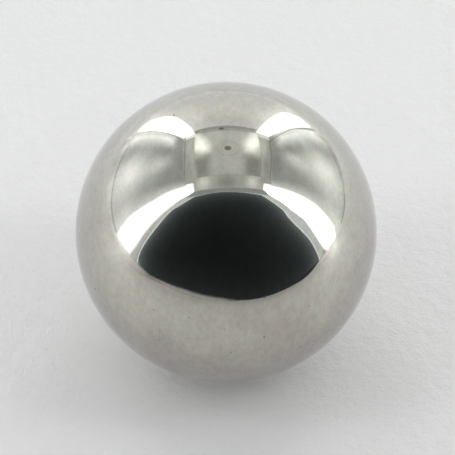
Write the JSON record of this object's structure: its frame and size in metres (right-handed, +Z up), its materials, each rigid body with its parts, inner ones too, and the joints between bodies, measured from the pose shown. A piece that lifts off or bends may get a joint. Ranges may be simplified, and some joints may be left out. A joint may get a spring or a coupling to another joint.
{
  "type": "steel ball",
  "caption": "Solid steel ball with a mirror-polished surface, free to roll on a track, in a race or in a cup.",
  "frame": {"origin": "centre of the ball", "axes": "+Z up, -Z towards the point where the ball touches its seat, -Y towards the viewer; the ball is the same about every axis"},
  "size_m": [0.027, 0.027, 0.027],
  "materials": {
    "polished_steel": "polished bare steel, mirror bright, with fine specks of wear"
  },
  "bodies": {
    "root": {"steel_ball": "polished_steel"}
  },
  "joints": []
}
